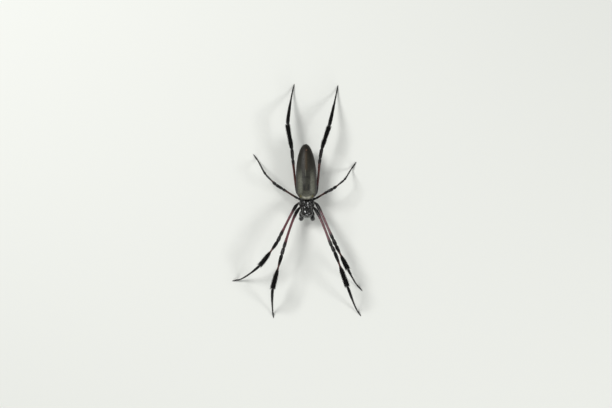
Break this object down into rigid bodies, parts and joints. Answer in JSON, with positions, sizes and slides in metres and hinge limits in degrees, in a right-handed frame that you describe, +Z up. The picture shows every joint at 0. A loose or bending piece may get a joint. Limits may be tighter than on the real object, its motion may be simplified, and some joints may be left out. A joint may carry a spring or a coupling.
{
  "type": "golden silk orb weaver",
  "caption": "Life-size still model of a golden silk orb weaver with long jointed legs, dark shin brushes, and a drawn-out grey abdomen, standing on its feet.",
  "frame": {"origin": "on the floor, under the middle of the whole spider's box", "axes": "+Z up, +Y from the head toward the tail, +X across the body"},
  "size_m": [0.065, 0.1168, 0.0176],
  "materials": {
    "black_shell": "glossy black hard shell with sparse silver hairs",
    "red_shell": "satin red-brown thigh shell, black at both ends",
    "dark_shell": "satin near-black leg shell",
    "bristle": "dark shin with a brush of black bristles",
    "grey_skin": "soft grey skin with a fine silver nap and a darker middle pattern",
    "brown_skin": "soft dark brown skin of the spinnerets"
  },
  "bodies": {
    "root": {"carapace": "black_shell", "sternum": "black_shell", "mouthparts": "black_shell", "chelicera_left": "black_shell", "palp_left": "black_shell", "chelicera_right": "black_shell", "palp_right": "black_shell", "abdomen": "grey_skin", "spinnerets": "brown_skin", "pedicel": "black_shell", "leg_1_left_coxa": "black_shell", "leg_1_left_femur": "red_shell", "leg_1_left_patella": "dark_shell", "leg_1_left_tibia": "bristle", "leg_1_left_metatarsus": "dark_shell", "leg_1_left_tarsus": "dark_shell", "leg_1_right_coxa": "black_shell", "leg_1_right_femur": "red_shell", "leg_1_right_patella": "dark_shell", "leg_1_right_tibia": "bristle", "leg_1_right_metatarsus": "dark_shell", "leg_1_right_tarsus": "dark_shell", "leg_2_left_coxa": "black_shell", "leg_2_left_femur": "red_shell", "leg_2_left_patella": "dark_shell", "leg_2_left_tibia": "bristle", "leg_2_left_metatarsus": "dark_shell", "leg_2_left_tarsus": "dark_shell", "leg_2_right_coxa": "black_shell", "leg_2_right_femur": "red_shell", "leg_2_right_patella": "dark_shell", "leg_2_right_tibia": "bristle", "leg_2_right_metatarsus": "dark_shell", "leg_2_right_tarsus": "dark_shell", "leg_3_left_coxa": "black_shell", "leg_3_left_femur": "red_shell", "leg_3_left_patella": "dark_shell", "leg_3_left_tibia": "bristle", "leg_3_left_metatarsus": "dark_shell", "leg_3_left_tarsus": "dark_shell", "leg_3_right_coxa": "black_shell", "leg_3_right_femur": "red_shell", "leg_3_right_patella": "dark_shell", "leg_3_right_tibia": "bristle", "leg_3_right_metatarsus": "dark_shell", "leg_3_right_tarsus": "dark_shell", "leg_4_left_coxa": "black_shell", "leg_4_left_femur": "red_shell", "leg_4_left_patella": "dark_shell", "leg_4_left_tibia": "bristle", "leg_4_left_metatarsus": "dark_shell", "leg_4_left_tarsus": "dark_shell", "leg_4_right_coxa": "black_shell", "leg_4_right_femur": "red_shell", "leg_4_right_patella": "dark_shell", "leg_4_right_tibia": "bristle", "leg_4_right_metatarsus": "dark_shell", "leg_4_right_tarsus": "dark_shell"}
  },
  "joints": []
}
